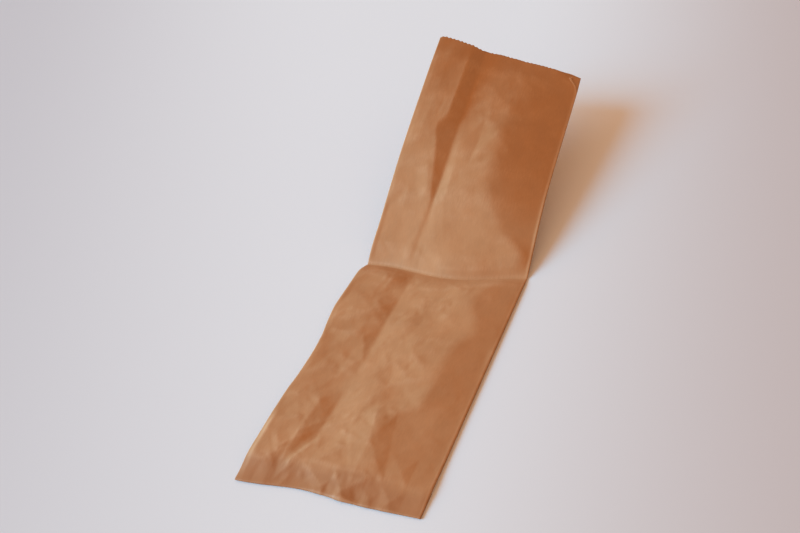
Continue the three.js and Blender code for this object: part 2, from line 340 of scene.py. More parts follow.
# %% Dents
# each dent: its outline, its tip and its height
DENTS = [
    ([(19, 2), (58, 6), (58, 30), (32, 36)], (35, 25), 0.8),
    ([(2, 76), (14, 62), (33, 80), (32, 96), (10, 92)], (25, 82), 0.6),
    ([(2, 150), (33.5, 152), (33.5, 174), (4, 177)], (23, 162), 0.5),
    ([(0, 120), (33.5, 119), (33.5, 146), (4, 150)], (22, 132), 0.9),
    ([(0, 113), (33.5, 88), (33.5, 121)], (24.5, 111), 0.8),
    ([(-6, 62), (20, 44), (33, 49), (33, 73)], (21, 58), 0.5),
    ([(4, 32), (20, 12), (35, 50), (10, 55)], (21, 34), 0.9),
    ([(-6, 48), (-4, 8), (19, 6), (19, 46)], (3, 34), 1.2),
    ([(46, 38), (60, 6), (76, 13), (67, 57), (54, 64)], (60, 36), 0.9),
    ([(72, 13), (88, 13), (88, 31), (74, 31)], (82, 21), 0.5),
    ([(50, 60), (76, 60), (78, 84), (56, 78)], (66, 71), -0.5),
    ([(44, 126), (62, 122), (70, 142), (50, 144)], (58, 133), -0.4),
    ([(26, -20), (32, 14), (54, 12), (54, -20)], (46, 3), 1.3),
    ([(48, -20), (50, 13), (68, 14), (68, -20)], (57, 3), 1.4),
    ([(64, -12), (66, 9), (77, 9), (77, -12)], (72, 3), 0.6),
    ([(74, -12), (76, 11), (89, 11), (89, -12)], (82, 4), 0.7),
    ([(8, -12), (10, 14), (23, 14), (23, -12)], (18, 4), 0.5),
    ([(38, 300), (52, 292), (58, 312), (46, 322)], (48, 306), 0.4),
    ([(38, 268), (47, 250), (62, 288), (48, 294)], (49, 275), -0.6),
    ([(87, 352), (101, 350), (101, 362), (85, 362)], (95, 357), -0.9),
]


def dent_share(u, v, outline, tip):
    """1 at the tip, falling along flat sides to 0 on the outline, whose corners all point outwards."""
    share = np.ones(u.shape)
    for (u0, v0), (u1, v1) in zip(outline, outline[1:] + outline[:1]):
        inside = (tip[0] - u0) * (v1 - v0) - (tip[1] - v0) * (u1 - u0)
        share = np.minimum(share, ((u - u0) * (v1 - v0) - (v - v0) * (u1 - u0)) / inside)
    return np.maximum(share, 0)


def front_relief(u, v):
    relief = crease_relief(u, v, CREASES)
    for outline, tip, height in DENTS:
        relief += height * dent_share(u, v, outline, tip)
    return relief


print("flat-sided dents:", len(DENTS), "highest in mm:", max(height for _, _, height in DENTS))

# %% [markdown]
# ## Handling marks
# Besides those creases, a bag that has passed through hands carries hundreds of short faint ones, more
# of them towards the bottom. Nobody would place them one by one, so they are drawn at random. The seed
# makes every run draw the same marks, which a part for a library needs.

# %% Handling marks
SEED = 7
MARKS = 260
MARK_SIDE_GAP = 6.0
MARK_CROWDING = 1.5  # a power over 1 moves marks towards the bottom
MARK_LENGTH = (3, 10)
MARK_WIDTH = (1.6, 3.0)
MARK_DEPTH = 0.26
dice = np.random.default_rng(SEED)


def handling_mark():
    u = dice.uniform(MARK_SIDE_GAP, BAG_WIDTH - MARK_SIDE_GAP)
    v = BAG_LENGTH * dice.uniform(0, 1) ** MARK_CROWDING
    turn = dice.uniform(0, math.pi)
    reach = dice.uniform(*MARK_LENGTH) / 2
    du = reach * math.cos(turn)
    dv = reach * math.sin(turn)
    left, right = dice.uniform(*MARK_WIDTH, 2)
    depth = MARK_DEPTH * dice.uniform(-1, 1)
    return [(u - du, v - dv), (u + du, v + dv)], depth, left, right


marks = [handling_mark() for _ in range(MARKS)]
print("handling marks:", len(marks))

# %% [markdown]
# ## Crumple
# Between the creases the paper is covered with small flat facets. A noise texture would give soft
# clouds instead. A lattice of random heights, joined by flat triangles and swayed out of its regular
# order, gives facets, and three lattices of different sizes lie over each other so that no pattern
# shows.

# %% Crumple
CRUMPLES = [(21.0, 0.45), (10.0, 0.26), (5.0, 0.08)]  # size and depth of each lattice
CRUMPLE_SHARE = [(0, 1.0), (170, 1.0), (200, 0.8), (358, 0.7)]
LATTICE = 96
LATTICE_START = (40, 5)  # cell that lies at the left end of the bottom fold
LATTICE_SWAY = 0.35
SWAY_ACROSS = (1.3, 0.7)  # pace and start of the wave
SWAY_ALONG = (1.7, 1.9)
lattice_heights = dice.uniform(-1, 1, (LATTICE, LATTICE))


def sway(run, wave):
    pace, start = wave
    return LATTICE_SWAY * np.sin(run * pace + start)


def crumple_facets(u, v, size):
    over = u / size + sway(v / size, SWAY_ACROSS) + LATTICE_START[0]
    up = v / size + sway(u / size, SWAY_ALONG) + LATTICE_START[1]
    column = np.floor(over).astype(int)
    row = np.floor(up).astype(int)
    aside = over - column
    ahead = up - row
    near = lattice_heights[column % LATTICE, row % LATTICE]
    beside = lattice_heights[(column + 1) % LATTICE, row % LATTICE]
    above = lattice_heights[column % LATTICE, (row + 1) % LATTICE]
    far = lattice_heights[(column + 1) % LATTICE, (row + 1) % LATTICE]
    low = near + aside * (beside - near) + ahead * (above - near)
    high = far + (1 - aside) * (above - far) + (1 - ahead) * (beside - far)
    left = near + ahead * (above - near) + aside * (far - above)
    right = near + aside * (beside - near) + ahead * (far - beside)
    one_way = np.where(aside + ahead < 1, low, high)
    other_way = np.where(ahead > aside, left, right)
    return np.where((column + row) % 2 == 0, one_way, other_way)


def crumple(u, v):
    facets = sum(depth * crumple_facets(u, v, size) for size, depth in CRUMPLES)
    return along_list(v, CRUMPLE_SHARE) * facets


print("sizes of the crumples in mm:", [size for size, _ in CRUMPLES])

# %% [markdown]
# ## The height of the front
# The front lies on three other layers, and on top of those come the swell, where the layers are loose,
# and the creases, dents, marks and crumple. The right side of the real bag is smoother, so marks and
# crumple are weaker there. All of it is calm at the side folds, at the crease and round the bottom
# fold. The front can't sink into the layers below it, so a soft lower limit keeps each rise above zero.
# On the raised half a narrow welt of pressed paper runs along the right side fold. A displace modifier
# could add such heights, but here the other layers have to know them too.

# %% Front panel
LAYERS = 4
FOLD_ARC = 1.6  # paper that goes into the half circle of the bottom fold
SIDE_CALM = 3.5
CREASE_CALM = 8.0
SMOOTH_SIDE = (66.0, 78.0)  # where the handled part gives way to the smooth one
SMOOTH_SHARE = 0.6
LEAST_RISE = 0.2
WELT_HEIGHT = 0.4
WELT_WIDTH = 0.9


def front_height(x, v):
    u = np.clip(x + HALF, 0, BAG_WIDTH)
    flat_v = np.maximum(v, 0)
    loose = looseness(x, flat_v)
    from_side = np.minimum(u, BAG_WIDTH - u)
    from_crease = np.abs(past_crease(x, v))
    calm = ease(from_side / SIDE_CALM) * ease(from_crease / CREASE_CALM) * ease(1 + v / FOLD_ARC)
    handled = 1 - SMOOTH_SHARE * between(u, SMOOTH_SIDE)
    small = handled * (crease_relief(u, flat_v, marks) + crumple(u, flat_v))
    rise = loose * front_swell(x, flat_v) + calm * (front_relief(u, flat_v) + small)
    rise = np.logaddexp(0, rise / LEAST_RISE) * LEAST_RISE
    welt = WELT_HEIGHT * loose * hump(BAG_WIDTH - u, WELT_WIDTH) * (v > CREASE_PLACE)
    return (LAYERS - 1) * layer_pitch(x, flat_v) + rise + welt


half_way = np.full(1, CREASE_PLACE / 2)
print("front in the middle of the lower half, in mm:", front_height(np.zeros(1), half_way))

# %% [markdown]
# ## The bend of the raised half
# Only its own stiffness holds the mouth half up, so its layers bend together: up to a ridge under the
# crest of the front, and up in the middle of their length. A lattice modifier could bend the finished
# mesh. Adding the same bend to the height of every layer is simpler and keeps the layers from crossing.

# %% Bend of the raised half
RIDGE_HEIGHT = [(0, 0), (178, 0), (205, 1.8), (230, 6.5), (255, 8.5), (300, 7.5), (335, 4.5), (358, 0.5)]
RIDGE_LEFT = 0.65  # share of the ridge that is left at the left side
RIDGE_ROUND = 0.3
BOW_HEIGHT = [(0, 0), (177, 0), (215, 2), (245, 2.5), (300, 1.5), (358, 0)]


def raised_bend(x, v):
    u = np.clip(x + HALF, 0, BAG_WIDTH)
    crest = along_list(v, CREST_PLACE)
    left = RIDGE_LEFT + (1 - RIDGE_LEFT) * u / crest
    right = (BAG_WIDTH - u) / (BAG_WIDTH - crest)
    ridge = (left + right - np.hypot(left - right, RIDGE_ROUND)) / 2
    return along_list(v, RIDGE_HEIGHT) * ridge + along_list(v, BOW_HEIGHT)


print("highest ridge in mm:", max(height for _, height in RIDGE_HEIGHT))

# %% [markdown]
# ## The back
# The back lies on the table. At the bottom it steps up over the glued flap, and between the gussets it
# arches a little, because the two edges of the sheet overlap there in the glued lap. Nobody sees much
# of it, so two eased steps are enough.

# %% Back panel
FLAP_THICKNESS = 0.5
FLAP_RAMP = 20.0
LAP_ROOM = 2 * PAPER
BACK_ARCH = 1.2


def past_flap(v):
    return ease((v - FLAP_LENGTH) / FLAP_RAMP)


def base_height(v):
    return PAPER / 2 + FLAP_THICKNESS * (1 - past_flap(v))


def back_arch(x, v):
    arch = ease((TUCK - np.abs(x)) / (TUCK - SEAM_OVERLAP / 2)) * past_flap(v)
    return arch * (LAP_ROOM + BACK_ARCH * looseness(x, v))


print("arch of the back at the mouth, in mm:", back_arch(0.0, BAG_LENGTH))

# %% [markdown]
# ## One turn round the tube
# A section through the bag is one closed line: the back, the two leaves of the left gusset, the front
# and the two leaves of the right gusset, with a small half round at each fold. Panels and leaves could
# be separate meshes, but then their folds would have to be sewn together. Each point of this line knows
# its layer, its place across the bag, and how many bend radii it stands off from there, so that one
# list serves every station along the bag.

# %% Section line
FRONT_STEPS = 144
BACK_STEPS = 44
LEAF_STEPS = 7
FOLD_STEPS = 3
BACK, LOWER_LEAF, INNER_FOLD, UPPER_LEAF, FRONT = range(5)


def panel_points(panel, start, stop, count):
    """A run across one panel. Where it ends at a side fold, it stands one bend radius inside."""
    points = []
    for share in np.linspace(0, 1, count + 1):
        stand_off = -math.copysign(1, start) * (1 - share) * (abs(start) == HALF)
        stand_off -= math.copysign(1, stop) * share * (abs(stop) == HALF)
        points.append((panel, start + (stop - start) * share, stand_off, 0))
    return points


def fold_points(panel, place, outward, upward, base):
    """The half round of a fold, without its two ends."""
    points = []
    for step in range(1, FOLD_STEPS):
        turn = math.pi * (step / FOLD_STEPS - 0.5) * upward
        points.append((panel, place, outward * (math.cos(turn) - 1), base + math.sin(turn)))
    return points


section = [
    *panel_points(BACK, HALF, -HALF, BACK_STEPS),
    *fold_points(BACK, -HALF, -1, 1, 1),
    *panel_points(LOWER_LEAF, -HALF, -TUCK, LEAF_STEPS),
    *fold_points(INNER_FOLD, -TUCK, 1, 1, 0),
    *panel_points(UPPER_LEAF, -TUCK, -HALF, LEAF_STEPS),
    *fold_points(FRONT, -HALF, -1, 1, -1),
    *panel_points(FRONT, -HALF, HALF, FRONT_STEPS),
    *fold_points(FRONT, HALF, 1, -1, -1),
    *panel_points(UPPER_LEAF, HALF, TUCK, LEAF_STEPS),
    *fold_points(INNER_FOLD, TUCK, -1, -1, 0),
    *panel_points(LOWER_LEAF, TUCK, HALF, LEAF_STEPS),
    *fold_points(BACK, HALF, 1, -1, 1),
]
layer, place_across, bends_across, bends_up = [np.array(column) for column in zip(*section)]
print("points round the tube:", len(section))

# %% [markdown]
# ## Stations along the bag
# The stations run from the end of the glued flap, round the bottom fold, to the mouth. A subdivision
# modifier would make the mesh finer everywhere. Listed stations stand close together only where the
# paper turns sharply: round the bottom fold, at the crease and in the teeth of the mouth. Near the
# crease they follow its dip, so that the crease always runs along a row of the mesh.

# %% Stations
FLAP_STATIONS = 5
ARC_STATIONS = 7
MOUTH_STATIONS = 4
TOOTH_DEPTH = 0.7
TOOTH_REACH = 3 * TOOTH_DEPTH
# each stretch: where it starts and stops, and its number of stations
STRETCHES = [
    (-FLAP_LENGTH - FOLD_ARC, -FOLD_ARC, FLAP_STATIONS),
    (-FOLD_ARC, 0, ARC_STATIONS),
    (0, 62, 55),
    (62, 162, 60),
    (162, CREASE_PLACE, 13),
    (CREASE_PLACE, 195, 12),
    (195, 300, 40),
    (300, BAG_LENGTH - TOOTH_REACH, 16),
]
CREASE_DIP_REACH = 22.0

stretches = [np.linspace(start, stop, count, endpoint=False) for start, stop, count in STRETCHES]
stretches.append(np.linspace(BAG_LENGTH - TOOTH_REACH, BAG_LENGTH, MOUTH_STATIONS))
stations = np.concatenate(stretches)[:, None]
station_grid = stations - crease_dip(place_across) * hump(stations - CREASE_PLACE, CREASE_DIP_REACH)
print("stations and points round the tube:", station_grid.shape)

# %% [markdown]
# ## The layers over each other
# Now every point gets its height in the stack. The leaves of a gusset lie between the back and the
# front, and meet at the inner fold halfway up. They are stiffer than the crumpled front over them, so
# they follow only the lowest part of the front nearby. A simulation would have to push the layers
# apart, and here they can't cross at all.

# %% Layers
def lowest_nearby(front, x, reach):
    """The lowest front height within reach of each place across the bag."""
    lowest = np.stack([front[:, np.abs(x - place) <= reach].min(axis=1) for place in place_across], axis=1)
    padded = np.pad(lowest, ((1, 1), (0, 0)), mode="edge")
    return np.minimum(np.minimum(padded[:-2], padded[2:]), lowest)


def stack_heights(x, v, pitch):
    """The height of every point over the back panel's lowest line, and that of the front above it."""
    front = front_height(np.clip(x, -HALF, HALF), v)
    inward = np.clip((HALF - np.abs(x)) / GUSSET_DEPTH, 0, 1)
    on_front = layer == FRONT
    lowest = lowest_nearby(front[:, on_front], place_across[on_front], GUSSET_DEPTH / LEAF_STEPS)
    under = front + (np.minimum(lowest, front) - front) * ease(inward * LEAF_STEPS)
    bend = pitch / 2
    lower_leaf = pitch + (under / 2 - bend - pitch) * inward
    heights = {
        BACK: back_arch(x, np.maximum(v, 0)),
        LOWER_LEAF: lower_leaf,
        INNER_FOLD: under / 2,
        UPPER_LEAF: under - lower_leaf,
        FRONT: front,
    }
    height = np.select([layer[None, :] == panel for panel in heights], list(heights.values()))
    return height + bends_up * bend, front


flat_grid = np.maximum(station_grid, 0)
pitch_grid = layer_pitch(place_across, flat_grid)
stack_across = place_across + bends_across * (pitch_grid / 2)
stack_height, front_over = stack_heights(stack_across, station_grid, pitch_grid)
share_up = np.clip(stack_height / front_over, 0, 1)
up = stack_height + base_height(flat_grid) + raised_bend(stack_across, flat_grid)
print("height of the stack in mm, lowest and highest:", stack_height.min(), stack_height.max())

# %% [markdown]
# ## The mouth
# A toothed knife cuts the sheet from the roll, so every layer ends in the same row of small teeth. The
# back stands out a little past the front, which makes such a bag easy to open with one finger. On this
# bag the cut wanders, and its right corner is drawn in and curled. Teeth could be cut by a boolean.
# Moving the last few stations keeps the mesh even.

# %% Mouth
TEETH = 36
TOOTH_PITCH = BAG_WIDTH / TEETH
BACK_LIP = 1.5
CORNER_PULL = 7.0
CORNER_REACH = 20.0
CORNER_POWER = 4
MOUTH_TRIM = [
    (0, 1.5), (3, 0.2), (12, 0), (20, 0.8), (30, 1.0), (42, 0.4),
    (58, 0.8), (74, 0.3), (88, 0.8), (98, 4), (100, 4.5),
]
TRIM_REACH = 12.0
BACK_TRIM = 0.4  # share of the trim that the back gets


def near_mouth(v, reach):
    return ease((v - BAG_LENGTH + reach) / reach)


near_corner = np.maximum(stack_across / HALF, 0) ** CORNER_POWER * near_mouth(station_grid, CORNER_REACH)
across = stack_across - CORNER_PULL * near_corner * share_up
tooth = 2 * TOOTH_DEPTH * np.abs((place_across / TOOTH_PITCH) % 1 - 0.5)
along = station_grid + near_mouth(station_grid, TOOTH_REACH) * (BACK_LIP * (1 - share_up) - tooth)
trim = along_list(place_across + HALF, MOUTH_TRIM) * (BACK_TRIM + (1 - BACK_TRIM) * share_up)
along = along - trim * near_mouth(along, TRIM_REACH)
print("the mouth lies between", along[-1].min(), "and", along[-1].max(), "mm from the bottom fold")

# %% [markdown]
# ## The lower half on the table
# The lower half lies flat. Its glued bottom is drawn in a little where the paper swells most, and below
# the bottom fold the stack turns under itself on a half circle and runs back as the flap. The crease
# crosses the bag at a slight angle, so the paper on each side of it is sheared by its skew, most of all
# close to the crease. One could rotate the finished half. Placing each point by its two distances lets
# the halves meet exactly.

# %% Lower half
CREASE_SKEW = math.radians(2.4)
BOTTOM_BOW = 2.5
BOTTOM_BOW_PLACE = 38.0
BOTTOM_BOW_WIDTH = 70.0
BOTTOM_BOW_REACH = 50.0


def near_crease(v):
    """1 at the crease, falling evenly to 0 at the bottom fold and at the mouth."""
    reach = np.where(v < CREASE_PLACE, CREASE_PLACE, RAISED_LENGTH)
    return np.clip(1 - np.abs(v - CREASE_PLACE) / reach, 0, 1)


def lay_lower(x, v, h):
    from_bow = np.abs(x + HALF - BOTTOM_BOW_PLACE) / (BOTTOM_BOW_WIDTH / 2)
    drawn_in = BOTTOM_BOW * ease(1 - from_bow) * (1 - ease(v / BOTTOM_BOW_REACH))
    skew = math.tan(CREASE_SKEW) * x * near_crease(v)
    flat = np.stack([x, np.maximum(v, 0) - CREASE_PLACE + skew + drawn_in, h], -1)
    turn = np.clip(-v / FOLD_ARC, 0, 1) * math.pi
    radius = h - FLAP_THICKNESS
    run_back = np.maximum(-v - FOLD_ARC, 0)
    y = run_back - radius * np.sin(turn) - CREASE_PLACE + drawn_in
    z = FLAP_THICKNESS + radius * np.cos(turn)
    return np.where((v < 0)[..., None], np.stack([x, y, z], -1), flat)


print("middle of the bottom fold in mm:", lay_lower(np.zeros(1), np.zeros(1), np.zeros(1)))

# %% [markdown]
# ## The raised half in the air
# From the crease the mouth half goes up at a steady lift, leans a little to the left, and twists more
# and more towards the mouth, so that its left side stands higher. Where the crease dips, the paper has
# already begun to rise, and that head start fades away above the crease. A bone with a twist could pose
# a flat sheet like this. The turn about one axis is written out here instead, because it needs no rig.

# %% Raised half
LIFT = math.radians(16.1)
LEAN = math.radians(2.2)
TWIST = math.radians(16)
TWIST_POWER = 1.5
DIP_REACH = 45.0

lift_axis = np.array([-math.sin(LEAN), math.cos(LEAN), math.tan(LIFT)])
lift_axis /= np.linalg.norm(lift_axis)
level_side = np.array([1.0, 0.0, 0.0])
lift_normal = np.cross(level_side, lift_axis)
lift_normal /= np.linalg.norm(lift_normal)


def twisted(vector, twist):
    """A vector turned about the axis of the raised half."""
    cos = np.cos(twist)[..., None]
    sin = np.sin(twist)[..., None]
    across_axis = np.cross(lift_axis, vector)
    along_axis = lift_axis * np.dot(lift_axis, vector)
    return vector * cos + across_axis * sin + along_axis * (1 - cos)


def lay_raised(x, v, h):
    head_start = 1 - ease(past_crease(x, v) / DIP_REACH)
    h = h + math.tan(LIFT) * crease_dip(x) * head_start
    skew = math.tan(CREASE_SKEW) * x
    run = v - CREASE_PLACE - skew * (1 - near_crease(v))
    twist = TWIST * np.maximum((v - CREASE_PLACE) / RAISED_LENGTH, 0) ** TWIST_POWER
    on_crease = np.stack([x, skew, np.zeros_like(x)], -1)
    swing = (twisted(level_side, twist) - level_side) * x[..., None]
    return on_crease + lift_axis * run[..., None] + swing + twisted(lift_normal, twist) * h[..., None]


print("middle of the mouth in mm:", lay_raised(np.zeros(1), np.full(1, BAG_LENGTH), np.zeros(1)))

# %% [markdown]
# ## The whole sheet in space
# The two sides of a handled bag are not straight lines: the left one wanders in and out below the
# crease, and both are drawn in above it. Each side has a short list for that, which moves the points
# next to it most. Then each point goes to the half that it belongs to. The result is the middle of the
# paper.

# %% Laying
SIDE_POWER = 2
RIGHT_BOW = [(0, 0), (180, 0), (250, 1.2), (320, 0.6), (358, 0)]
LEFT_BOW = [
    (0, 0.8), (16, 0.5), (45, 0.6), (60, 0.7), (75, 1.8), (92, 2.2), (105, 1.6), (119, -0.4),
    (134, -1.8), (150, -1.3), (165, -0.9), (178, 0), (240, 2.0), (300, 1.5), (335, 0.7), (358, 0.4),
]


def lay(x, v, h):
    flat_v = np.maximum(v, 0)
    bow = np.where(x > 0, -along_list(flat_v, RIGHT_BOW), along_list(flat_v, LEFT_BOW))
    x = x + bow * (x / HALF) ** SIDE_POWER
    on_raised = v > CREASE_PLACE - crease_dip(x)
    return np.where(on_raised[..., None], lay_raised(x, v, h), lay_lower(x, v, h))


paper_middle = lay(across, along, up)
print("extent of the sheet in mm:", np.ptp(paper_middle.reshape(-1, 3), axis=0))

# %% [markdown]
# ## The two faces of the paper
# Half a thickness to each side of the middle gives the two faces of the paper, and along the glued lap
# the back is one thickness more. A solidify modifier does the same, but it would not know the lap. The
# whole bag is then moved so that it stands in the middle of the frame's box and touches the table.

# %% Faces of the paper
def grid_normals(grid):
    along_rows = np.gradient(grid, axis=0)
    round_tube = np.roll(grid, -1, axis=1) - np.roll(grid, 1, axis=1)
    normals = np.cross(along_rows, round_tube)
    return normals / np.linalg.norm(normals, axis=-1, keepdims=True)


normals = grid_normals(paper_middle)
on_lap = (layer == BACK) & (np.abs(place_across) < SEAM_OVERLAP / 2)
outer_reach = PAPER / 2 + PAPER * on_lap[None, :, None]
outer_face = paper_middle + normals * outer_reach
inner_face = paper_middle - normals * PAPER / 2
corners = np.concatenate([outer_face, inner_face]).reshape(-1, 3)

cad_middle = (np.array(cad_low) + np.array(cad_high)) / 2 / MM
own_middle = (corners.min(0) + corners.max(0)) / 2
shift = cad_middle - own_middle
shift[2] = -corners[:, 2].min()
corners = (corners + shift) * MM
print("corners:", len(corners), "moved by", shift, "mm")

# %% [markdown]
# ## The shell
# Four-sided faces join the corners, row by row, on the outer and on the inner face. A strip of paper
# edge joins the two at the mouth and at the end of the flap, so the bag is one closed mesh without a
# hole, as a sheet of paper is.

# %% Shell
def shell_faces(rows, columns):
    inside = rows * columns
    index = np.arange(inside).reshape(rows, columns)
    beside = np.roll(index, -1, axis=1)
    outer = np.stack([index[:-1], index[1:], beside[1:], beside[:-1]], -1).reshape(-1, 4)
    inner = outer[:, ::-1] + inside
    mouth = np.stack([index[-1], index[-1] + inside, beside[-1] + inside, beside[-1]], -1)
    flap_end = np.stack([index[0], beside[0], beside[0] + inside, index[0] + inside], -1)
    return np.concatenate([outer, inner, mouth, flap_end])


faces = shell_faces(*across.shape)
bag_mesh = bpy.data.meshes.new("bag_paper")
bag_mesh.from_pydata(corners.tolist(), [], faces.tolist())
bag_mesh.shade_smooth()
bag = bpy.data.objects.new("bag_paper", bag_mesh)
bpy.context.scene.collection.objects.link(bag)
print("triangles:", 2 * len(faces), "valid:", not bag_mesh.validate())

# %% [markdown]
# ## The camera
# The photograph looks down on the bag from the front right, with the camera rolled a little. A Track To
# constraint could aim it, but it allows no roll. So the camera's three axes are worked out and set as
# its matrix.

# %% Camera
FOCAL_PIXELS = 1072
IMAGE_WIDTH = 800
SENSOR_WIDTH = 36.0
ELEVATION = math.radians(36.9)
AZIMUTH = math.radians(27.7)
ROLL = math.radians(-10.7)
DISTANCE = 652.0
TARGET = (-29.5, 0.2, 0.0)
NEAREST_SEEN = 0.01

camera_data = bpy.data.cameras.new("camera")
camera_data.sensor_width = SENSOR_WIDTH
camera_data.lens = FOCAL_PIXELS * SENSOR_WIDTH / IMAGE_WIDTH
camera_data.clip_start = NEAREST_SEEN
level_back = Vector((math.sin(AZIMUTH), -math.cos(AZIMUTH), 0))
back_axis = level_back * math.cos(ELEVATION) + Vector((0, 0, math.sin(ELEVATION)))
right_axis = Vector((math.cos(AZIMUTH), math.sin(AZIMUTH), 0))
up_axis = back_axis.cross(right_axis)
rolled_right = right_axis * math.cos(ROLL) + up_axis * math.sin(ROLL)
rolled_up = up_axis * math.cos(ROLL) - right_axis * math.sin(ROLL)
axes = Matrix((rolled_right, rolled_up, back_axis)).transposed().to_4x4()
target = Vector(TARGET) + Vector((shift[0], shift[1], 0))
stand = (target + back_axis * DISTANCE) * MM

camera = bpy.data.objects.new("camera", camera_data)
bpy.context.scene.collection.objects.link(camera)
camera.matrix_world = Matrix.Translation(stand) @ axes
bpy.context.scene.camera = camera
print("camera at", list(stand), "lens in mm", camera_data.lens)

# %% [markdown]
# ## Helpers for nodes
# The room, the table and the paper get their colours from shader nodes. One could join them by hand in
# the shader editor. In a script, a helper that adds a node and sets its inputs says the same in one
# line. An input takes either a plain value or the output of another node. The other helpers each add
# one kind of node that is used more than once.

# %% Node helpers
MIX_FIRST = 6
MIX_SECOND = 7
MIX_RESULT = 2


def wire(socket, value):
    if isinstance(value, bpy.types.NodeSocket):
        socket.id_data.links.new(value, socket)
    else:
        socket.default_value = value


def add(tree, kind, inputs, **settings):
    node = tree.nodes.new("ShaderNode" + kind)
    for name, value in settings.items():
        setattr(node, name, value)
    for key, value in inputs.items():
        wire(node.inputs[key], value)
    return node


def run_along(tree, place, direction):
    return add(tree, "VectorMath", {0: place, 1: direction}, operation="DOT_PRODUCT").outputs["Value"]


def ranged(tree, value, given, wanted=(0.0, 1.0), curve="LINEAR"):
    """Moves a value from one pair of limits to another."""
    limits = {"From Min": given[0], "From Max": given[1], "To Min": wanted[0], "To Max": wanted[1]}
    return add(tree, "MapRange", {"Value": value, **limits}, interpolation_type=curve).outputs["Result"]


def mixed(tree, share, first, second):
    colours = {"Factor": share, MIX_FIRST: first, MIX_SECOND: second}
    return add(tree, "Mix", colours, data_type="RGBA").outputs[MIX_RESULT]


def times(tree, first, second):
    return add(tree, "Math", {0: first, 1: second}, operation="MULTIPLY").outputs["Value"]


print("node helpers ready for Blender", bpy.app.version_string)

# %% [markdown]
# ## The room
# The bag lies in a warm room that is brighter on the left. That light is the world's, because it comes
# from all sides and keeps the shaded facets from going black. A lamp on every side could do it too, but
# each would cast its own shadow. The camera itself sees a plain pale backdrop there, so the warm light
# shows only on the things it falls on.

# %% Room
ROOM_LIGHT = (0.714, 0.458, 0.289)
ROOM_FROM = (-0.93, -0.37, 0.0)
ROOM_SLANT = 0.5
BACKDROP = (0.62, 0.58, 0.58)

scene = bpy.context.scene
scene.view_settings.view_transform = "Standard"
scene.world = bpy.data.worlds.new("room")
scene.world.use_nodes = True
room = scene.world.node_tree
slant = run_along(room, add(room, "TexCoord", {}).outputs["Generated"], ROOM_FROM)
strength = add(room, "Math", {0: slant, 1: ROOM_SLANT, 2: 1.0}, operation="MULTIPLY_ADD")
warm = room.nodes["Background"]
wire(warm.inputs["Color"], (*ROOM_LIGHT, 1))
wire(warm.inputs["Strength"], strength.outputs["Value"])
pale = add(room, "Background", {"Color": (*BACKDROP, 1)})
seen = add(room, "LightPath", {}).outputs["Is Camera Ray"]
either = {"Fac": seen, 1: warm.outputs["Background"], 2: pale.outputs["Background"]}
shown = add(room, "MixShader", either)
wire(room.nodes["World Output"].inputs["Surface"], shown.outputs["Shader"])
print("nodes of the room:", len(room.nodes))

# %% [markdown]
# ## The table
# The bag lies on a pale table. One large square is enough for it, and it lies a hair below the bag, so
# that the two never share a plane.

# %% Table
FLOOR_REACH = 3.0
FLOOR_DROP = 0.0002  # keeps the table from showing through the paper

floor_mesh = bpy.data.meshes.new("floor")
floor_corners = [(FLOOR_REACH * x, FLOOR_REACH * y, 0) for x, y in ((-1, -1), (1, -1), (1, 1), (-1, 1))]
floor_mesh.from_pydata(floor_corners, [], [(0, 1, 2, 3)])
floor = bpy.data.objects.new("floor", floor_mesh)
scene.collection.objects.link(floor)
floor.location.z = -FLOOR_DROP
print("table of", 2 * FLOOR_REACH, "m, lowered by", FLOOR_DROP, "m")

# %% [markdown]
# ## Painted shade on the table
# The table is matt. Its colour is painted a little greyer to the left and darker and warmer to the right
# and to the front: a painted shade where the light on the table falls off. A picture could carry that
# shade, but two soft fades along the table do it without one.

# %% Painted shade on the table
FLOOR_ROUGHNESS = 0.9
FLOOR_SHINE = 0.1
FLOOR_COLOUR = (0.92, 0.88, 0.85)
# painted shade: darker, greyer and warmer tones for the left and the right side of the table
FLOOR_LEFT_SHADE = (0.71, 0.66, 0.65)
FLOOR_RIGHT_SHADE = (0.675, 0.55, 0.50)
FLOOR_LEFT_SHADE_REACH = (0.03, 0.40)  # metres from the middle where the fade starts and ends
FLOOR_RIGHT_SHADE_REACH = (-0.02, 0.26)
FLOOR_SLANT = 0.39

floor_paint = bpy.data.materials.new("floor")
floor_paint.use_nodes = True
table = floor_paint.node_tree
floor_place = add(table, "TexCoord", {}).outputs["Object"]
# painted shade fading in towards the left and the right of the table
left_shade_share = ranged(table, run_along(table, floor_place, -right_axis), FLOOR_LEFT_SHADE_REACH, curve="SMOOTHSTEP")
right_shade_side = right_axis + level_back * FLOOR_SLANT
right_shade_share = ranged(table, run_along(table, floor_place, right_shade_side), FLOOR_RIGHT_SHADE_REACH, curve="SMOOTHSTEP")
shaded_floor_tone = mixed(table, left_shade_share, (*FLOOR_COLOUR, 1), (*FLOOR_LEFT_SHADE, 1))
shaded_floor_tone = mixed(table, right_shade_share, shaded_floor_tone, (*FLOOR_RIGHT_SHADE, 1))
floor_finish = table.nodes["Principled BSDF"]
wire(floor_finish.inputs["Base Color"], shaded_floor_tone)
wire(floor_finish.inputs["Roughness"], FLOOR_ROUGHNESS)
wire(floor_finish.inputs["Specular IOR Level"], FLOOR_SHINE)
floor_mesh.materials.append(floor_paint)
print("nodes of the table:", len(table.nodes))

# %% [markdown]
# ## Light from the left
# One broad cool light from the left draws every crease. In the photograph it grazes the paper, yet the
# shadow of the raised half is short, as if the light stood higher over the table. One lamp can't do
# both, so there are two: a low area lamp for the bag and a higher, sun-like lamp for the table. Light
# linking lets each lamp shine on one thing only, and the bag still casts its shadow.

